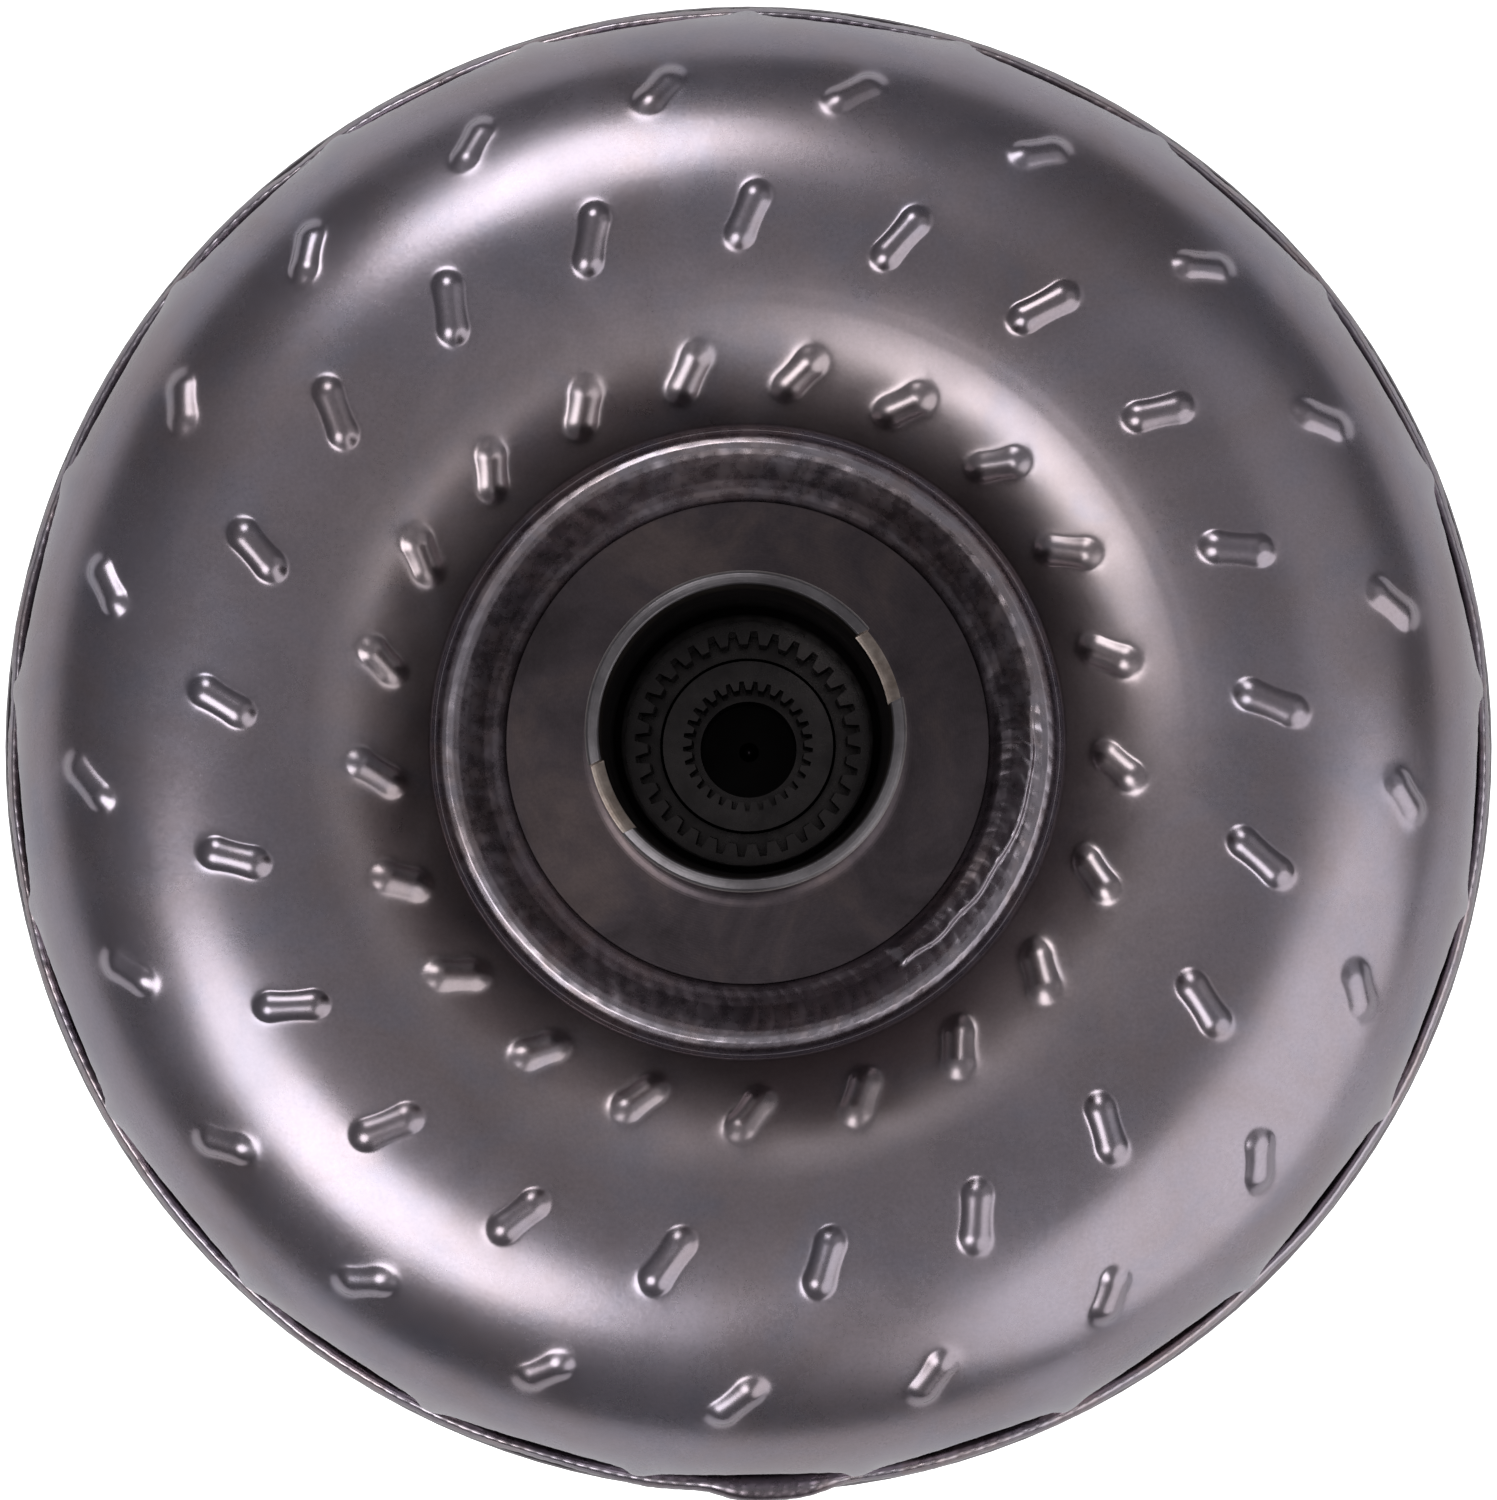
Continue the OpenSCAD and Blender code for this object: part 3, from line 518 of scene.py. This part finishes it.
def build_shell():
    section = shell_section(0)
    length = np.concatenate([[0], np.cumsum(np.hypot(*np.diff(section, axis=0).T))])
    at, centres = shell_rows(section, length)
    dome = np.stack([np.interp(at, length, section[:, 0]), np.interp(at, length, section[:, 1])], -1)
    rim = np.array([[RIM_R, z] for z in (RIM_Z, RIM_Z + 6 * MM)])
    wall = even([[RIM_R, FLAT_Z - 3 * MM], [RIM_R, SHOULDER_Z]], 0.7 * MM)[:-1]
    outer = np.concatenate([rim, wall, dome])
    run = np.concatenate([np.full(len(rim) + len(wall), -1.0), at])[:, None]
    inner = np.concatenate([[[RIM_R - SHELL_T, RIM_Z]], even(shell_section(SHELL_T), 4 * MM)])[::-1]
    share = np.concatenate([np.linspace(-0.5, -BUMP_SHARE, SIDE_COLUMNS, False),
                            np.linspace(-BUMP_SHARE, BUMP_SHARE, BUMP_COLUMNS, False),
                            np.linspace(BUMP_SHARE, 0.5, SIDE_COLUMNS, False)])
    column = (np.arange(FLATS)[:, None] * SECTOR + share * SECTOR).reshape(1, -1)
    r, z = outer[:, :1], outer[:, 1:]
    angle = np.pi / 2 - blade_line(r) + column
    slope = np.gradient(outer, axis=0)
    slope /= np.hypot(*slope.T)[:, None]
    normal_r, normal_z = slope[:, 1:], -slope[:, :1]
    lift = 0 * angle
    for (_, back, lean, half, wide, high, soft), middle in zip(BUMP_RINGS, centres):
        near = np.flatnonzero(np.abs(run[:, 0] - middle) < BUMP_REACH)
        for k in range(FLATS):
            wobble = rng.normal(size=6)
            centre = np.pi / 2 - math.radians(back + 360 / FLATS * k + 0.12 * wobble[0])
            s = -(run[near] - middle) - 0.12 * MM * wobble[1]
            t = turn_gap(angle[near], centre) * r[near]
            turn = math.radians(lean + 2.0 * wobble[2])
            along = s * math.cos(turn) - t * math.sin(turn)
            across = s * math.sin(turn) + t * math.cos(turn)
            half_l, half_w = half * MM * (1 + 0.03 * wobble[3]), wide * MM * (1 + 0.03 * wobble[4])
            pinch = np.clip(np.abs(along) / half_l, 0, 1) ** 2
            gap = np.hypot(np.maximum(np.abs(along) - (half_l - half_w), 0), across)
            tall = high * MM * (1 + 0.05 * wobble[5])
            raised = pillow(gap, half_w * (0.76 + 0.24 * pinch), tall, soft * MM)
            dimple = DIMPLE * np.exp(-(gap / (2.1 * half_w)) ** 2)
            lift[near] += raised * (0.80 + 0.20 * pinch) - dimple
    uneven = soft_noise(angle, run, 26, 85 * MM, 24 * MM, CREST_R) * 0.035 * MM
    lift = lift + uneven * ease(z, SHOULDER_Z - 2 * MM, SHOULDER_Z + 8 * MM)
    rr, zz = r + normal_r * lift, z + normal_z * lift
    # the shoulder's flats: each starts softly at one corner and ends in a short step at the next
    x = turn_gap(angle * FLATS - np.pi / 2 * FLATS + np.pi, 0) / np.pi
    depth = FLAT_DEPTH * (1 - ((x - 0.12) / 1.12) ** 2) * (1 - ease(x, 0.86, 1.0))
    over = np.maximum(rr - (RIM_R - depth), 0)
    rr = rr - over * ease(zz, FLAT_Z - 0.7 * MM, FLAT_Z + 0.5 * MM)
    corner = np.exp(-((np.abs(x) - 1) / 0.16) ** 2) * ease(zz, FLAT_Z, FLAT_Z + 3 * MM)
    rr = rr + RIDGE * corner * np.exp(-((zz - SHOULDER_Z - 4 * MM) / (6.5 * MM)) ** 2)
    top_rows = np.stack([rr * np.cos(angle), rr * np.sin(angle), zz], -1)
    inner_angle = np.pi / 2 - blade_line(inner[:, :1]) + column
    inside = np.stack([inner[:, :1] * np.cos(inner_angle), inner[:, :1] * np.sin(inner_angle),
                       inner[:, 1:] + 0 * inner_angle], -1)
    points, faces = wrap(np.concatenate([top_rows, inside]))
    make("impeller_shell_pressed", points, faces, "casing", ["impeller_shell"], 50)


build_shell()

# ---------------------------------------------------------------- welds

# the bead's section from the flange, over the crest, to the shell's lip: radius, height
HUB_WELD = ((40.35, 94.9), (40.5, 95.4), (40.9, 95.7), (41.6, 96.0), (42.6, 96.3), (44.0, 96.9), (45.4, 97.7),
            (46.8, 98.5), (48.0, 99.1), (49.0, 99.35), (50.0, 99.3), (50.9, 98.9), (51.6, 98.4), (52.1, 98.1),
            (52.5, 98.6), (52.7, 99.9))
HUB_WELD_FOOT = ((52.9, 97.0), (52.0, 94.4), (48, 94.3), (41.5, 94.4))
HUB_BEAD_R = 46 * MM


def build_hub_weld():
    """The bead between the hub's flange and the shell, with a second pass over part of its inner half."""
    n = 1500
    angle = np.linspace(0, 2 * np.pi, n, endpoint=False)[None, :]
    top = even(np.array(HUB_WELD) * MM, 0.2 * MM)
    r, z = top[:, :1], top[:, 1:]
    mm = r / MM
    body = np.sin(np.pi * np.clip((mm - 40.6) / 11.4, 0, 1)) ** 0.8
    swing = turn_gap(angle, 0)
    lively = ease(-swing, math.radians(-25), math.radians(5))
    lively = lively * (1 - ease(-swing, math.radians(80), math.radians(110)))
    phase = angle * np.round(2 * np.pi * HUB_BEAD_R / (2.6 * MM)) + 5.5 * ((mm - 45.5) / 5) ** 2
    ripple = (np.abs(np.sin(phase / 2)) - 0.64) * 0.06 * MM * body * (0.15 + lively)
    rough = soft_noise(angle, r, 40, 12 * MM, 3 * MM, HUB_BEAD_R) * 0.035 * MM * body
    broad = soft_noise(angle, r, 14, 50 * MM, 14 * MM, HUB_BEAD_R) * 0.10 * MM * body
    back = -swing / math.radians(1)
    edge = 47.7 - 2.3 * ease(back, 2, 52) + soft_noise(angle, 0, 8, 20 * MM, 6 * MM, HUB_BEAD_R) * 0.18
    tongue = ease(back, -14, 4) * (1 - ease(back, 52, 57))
    second = tongue * ease(mm, 40.6, 42.6) * (1 - ease(mm, edge - 0.55, edge + 0.45)) * 0.95 * MM
    flick = np.sin(angle * 46 / 1.1 * 2 + (mm - 43.5) ** 2 * 0.5)
    chevron = tongue * flick * 0.05 * MM * ease(mm, 41, 42.5) * (1 - ease(mm, edge - 1.2, edge))
    rows = np.stack([r * np.cos(angle), r * np.sin(angle), z + ripple + rough + broad + second + chevron], -1)
    under = np.array(HUB_WELD_FOOT) * MM
    low = np.stack([under[:, :1] * np.cos(angle), under[:, :1] * np.sin(angle), under[:, 1:] + 0 * angle], -1)
    points, faces = wrap(np.concatenate([rows, low])[::-1])
    make("hub_weld_bead", points, faces, "casing", ["hub_weld"], 0)


build_hub_weld()

# from the groove beside the shell, over the crest, to the toe on the cover's lip
SEAM_WELD = ((125.6, 70.4), (125.9, 71.0), (126.3, 71.35), (126.7, 71.9), (127.1, 72.55), (127.6, 72.9),
             (128.1, 72.75), (128.6, 72.2), (129.0, 71.4), (129.25, 70.6), (129.35, 69.7))
SEAM_WELD_FOOT = ((128.4, 69.4), (126.0, 69.5))


def build_seam_weld():
    """The closing bead round the rim, with a swollen overlap where the torch stopped."""
    n = 2400
    angle = np.linspace(0, 2 * np.pi, n, endpoint=False)[None, :]
    top = even(np.array(SEAM_WELD) * MM, 0.24 * MM)
    r, z = top[:, :1], top[:, 1:]
    up = ease(z, 70.4 * MM, 72.6 * MM)
    swell = np.exp(-(turn_gap(angle, math.radians(-88)) * 130 / 9.5) ** 4)
    tail = np.exp(-(turn_gap(angle, math.radians(-97)) * 130 / 12) ** 2)
    phase = angle * np.round(2 * np.pi * 129 / 2.4) + 1.4 * (r / MM - 127.6)
    ripple = (np.abs(np.sin(phase / 2)) - 0.64) * 0.07 * MM
    rough = soft_noise(angle, r, 40, 40 * MM, 5 * MM, 129 * MM) * 0.10 * MM
    wide = soft_noise(angle, 0, 10, 120 * MM, 20 * MM, 129 * MM) * 0.14 * MM
    small = (ripple + rough) * (1 - up) * ease(r, 126.8 * MM, 128.5 * MM)
    large = (wide + 1.6 * MM * swell + 0.5 * MM * tail) * ease(r, 126.2 * MM, 128.6 * MM)
    r = r + small + large
    z = z + (ripple + rough + 0.5 * MM * swell) * up
    rows = np.stack([r * np.cos(angle), r * np.sin(angle), z], -1)
    under = np.array(SEAM_WELD_FOOT) * MM
    low = np.stack([under[:, :1] * np.cos(angle), under[:, :1] * np.sin(angle), under[:, 1:] + 0 * angle], -1)
    points, faces = wrap(np.concatenate([rows, low])[::-1])
    make("seam_weld_bead", points, faces, "casing", ["seam_weld"], 0)


build_seam_weld()

# ---------------------------------------------------------------- turned pieces


def lathe(name, profile, n):
    """A ring turned from a closed profile of (radius, height) in millimetres, clear of the axis."""
    angle = np.linspace(0, 2 * np.pi, n, endpoint=False)[None, :]
    profile = np.asarray(profile, float) * MM
    radius, height = profile[:, :1], profile[:, 1:]
    rows = np.stack([radius * np.cos(angle), radius * np.sin(angle), height + 0 * angle], -1)
    points, faces = wrap(rows)
    mesh = bpy.data.meshes.new(name)
    mesh.from_pydata(points.tolist(), [], faces.tolist())
    work = bmesh.new()
    work.from_mesh(mesh)
    bmesh.ops.recalc_face_normals(work, faces=work.faces)
    work.to_mesh(mesh)
    work.free()
    piece = bpy.data.objects.new(name, mesh)
    scene.collection.objects.link(piece)
    return piece


def block(name, size, at, turn):
    """A box for cutting, given in millimetres."""
    mesh = bpy.data.meshes.new(name)
    work = bmesh.new()
    bmesh.ops.create_cube(work, size=1)
    bmesh.ops.scale(work, vec=[s * MM for s in size], verts=work.verts)
    bmesh.ops.translate(work, vec=[a * MM for a in at], verts=work.verts)
    work.to_mesh(mesh)
    work.free()
    cutter = bpy.data.objects.new(name, mesh)
    cutter.rotation_euler.z = math.radians(turn)
    scene.collection.objects.link(cutter)
    return cutter


def settle(piece, cutters, bevel, limit, segments):
    """Cuts and bevels a piece, then fixes the result as its mesh."""
    for cutter in cutters:
        cut = piece.modifiers.new("cut", "BOOLEAN")
        cut.object, cut.operation, cut.solver = cutter, "DIFFERENCE", "EXACT"
    edge = piece.modifiers.new("edge", "BEVEL")
    edge.width, edge.segments, edge.limit_method = bevel * MM, segments, "ANGLE"
    edge.angle_limit = math.radians(limit)
    bpy.context.view_layer.update()
    graph = bpy.context.evaluated_depsgraph_get()
    mesh = bpy.data.meshes.new_from_object(piece.evaluated_get(graph))
    piece.modifiers.clear()
    piece.data = mesh
    for cutter in cutters:
        bpy.data.objects.remove(cutter)


def build_hub():
    """The hub with its long neck, fillet, flange and the two slots that drive the oil pump."""
    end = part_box("impeller_hub")[1].z / MM
    back, flange, step = 89, 95, 110
    neck, bore, narrow, fillet = 23.8, 21.7, 20.6, 4.0
    arc = [(neck + fillet - fillet * math.sin(a), flange + fillet - fillet * math.cos(a))
           for a in np.linspace(0, np.pi / 2, 14)]
    profile = [(narrow, back), (51.9, back), (51.9, 94.2), (50.6, flange), (46, flange), (40, flange)] + arc
    profile += [(neck, z) for z in (112, 130, 148, 160, end - 0.75)]
    profile += [(neck - 0.45, end - 0.3), (bore + 0.3, end), (bore, end - 0.3)]
    profile += [(bore, z) for z in (150, 130, step)]
    profile += [(narrow, step - 1.1)]
    hub = lathe("impeller_hub_turned", profile, 360)
    slot_w, slot_deep, slot_turn = 11.2, 9, 26
    slot = block("slot_cutter", (60, slot_w, 12), (0, 0, end - slot_deep + 6), slot_turn)
    settle(hub, [slot], bevel=0.14, limit=25, segments=2)
    finish_piece(hub, "casing", ["impeller_hub"], 32)


build_hub()


def build_springs():
    """Round-wire damper springs with closed ends, all at one fixed length.

    They are slimmer than the CAD springs, to stay clear of their windows.
    """
    count, turns, length = 6, 6.5, 39.6 * MM
    wire, mean = 1.45 * MM, 5.8 * MM
    ring_r, ring_z = 60 * MM, 35 * MM
    steps, sides = 300, 16
    s = np.linspace(0, 1, steps + 1)
    coil = 2 * np.pi * turns * s
    flat = 0.09
    rise = np.clip((s - flat) / (1 - 2 * flat), 0, 1)
    end_turn = wire * 2 * turns * flat * 0.5
    run = rise * (length - 2 * wire - 2 * end_turn) + np.clip(s / flat, 0, 1) * end_turn
    run = run + np.clip((s - 1 + flat) / flat, 0, 1) * end_turn + wire - length / 2
    for k in range(count):
        turn = 2 * np.pi / count * k
        radial = np.array([math.cos(turn), math.sin(turn), 0])
        tangent = np.array([-math.sin(turn), math.cos(turn), 0])
        up = np.array([0, 0, 1.0])
        centre = radial * ring_r + up * ring_z
        spoke = np.cos(coil)[:, None] * radial + np.sin(coil)[:, None] * up
        path = centre + mean * spoke + run[:, None] * tangent
        side = 2 * np.pi * np.arange(sides) / sides
        across, along = np.cos(side)[None, :, None], np.sin(side)[None, :, None]
        rows = path[:, None] + wire * (across * spoke[:, None] + along * tangent)
        points = rows.reshape(-1, 3)
        i, j = np.meshgrid(np.arange(steps), np.arange(sides), indexing="ij")
        a, b = i * sides + j, i * sides + (j + 1) % sides
        faces = np.stack([b, a, a + sides, b + sides], -1).reshape(-1, 4).tolist()
        faces += [list(range(sides)), list(range(steps * sides, (steps + 1) * sides))[::-1]]
        piece = make(f"damper_coil_{k + 1}", points, faces, "spring_set", [f"damper_spring_{k + 1}"], 60)
        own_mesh(piece)


build_springs()

# ---------------------------------------------------------------- floor and light

FLOOR_HALF = 6
corners = [(-FLOOR_HALF, -FLOOR_HALF, 0), (FLOOR_HALF, -FLOOR_HALF, 0),
           (FLOOR_HALF, FLOOR_HALF, 0), (-FLOOR_HALF, FLOOR_HALF, 0)]
floor_mesh = bpy.data.meshes.new("floor")
floor_mesh.from_pydata(corners, [], [(0, 1, 2, 3)])
floor = bpy.data.objects.new("floor", floor_mesh)
scene.collection.objects.link(floor)
floor_material, floor_tree, floor_shader = start("floor_white", 0.0, Roughness=0.9)
floor_shader.inputs["Base Color"].default_value = (0.86, 0.86, 0.87, 1)
floor_shader.inputs["Emission Color"].default_value = (1, 1, 1, 1)
seen = node(floor_tree, "ShaderNodeLightPath").outputs["Is Camera Ray"]
floor_tree.links.new(math_node(floor_tree, "MULTIPLY", seen, 0.95), floor_shader.inputs["Emission Strength"])
floor_mesh.materials.append(floor_material)


LAMP_AIM = (0, 0, 80 * MM)


def lamp(name, turn, height, distance, size, power):
    """A soft round light at an angle round from +X and a height in degrees, aimed at the part."""
    light = bpy.data.lights.new(name, "AREA")
    light.shape, light.size, light.energy = "DISK", size, power
    thing = bpy.data.objects.new(name, light)
    a, e = math.radians(turn), math.radians(height)
    thing.location = Vector((math.cos(a) * math.cos(e), math.sin(a) * math.cos(e), math.sin(e))) * distance
    thing.rotation_mode = "QUATERNION"
    thing.rotation_quaternion = (Vector(LAMP_AIM) - thing.location).to_track_quat("-Z", "Y")
    scene.collection.objects.link(thing)


lamp("key_south_west", 225, 57, 1.5, 0.85, 8.4)
lamp("key_north", 107, 47, 1.5, 0.66, 5.6)
lamp("panel_east", 322, 33, 1.6, 1.9, 14.0)
lamp("panel_north_east", 15, 45, 1.6, 1.3, 1.2)

world = bpy.data.worlds.new("world")
world.use_nodes = True
sky = world.node_tree
direction = node(sky, "ShaderNodeTexCoord").outputs["Generated"]
upward = node(sky, "ShaderNodeSeparateXYZ", {0: direction}).outputs["Z"]
glow = ramp(sky, upward, [(0.0, (0.16, 0.16, 0.17)), (0.3, (0.18, 0.18, 0.19)), (0.6, (0.26, 0.26, 0.27)),
                          (0.9, (0.35, 0.35, 0.36))])
camera_ray = node(sky, "ShaderNodeLightPath").outputs["Is Camera Ray"]
sky.links.new(mix(sky, camera_ray, glow, (0.93, 0.93, 0.94)), sky.nodes["Background"].inputs[0])
sky.nodes["Background"].inputs[1].default_value = 1.0
scene.world = world
scene.view_settings.view_transform = "Standard"
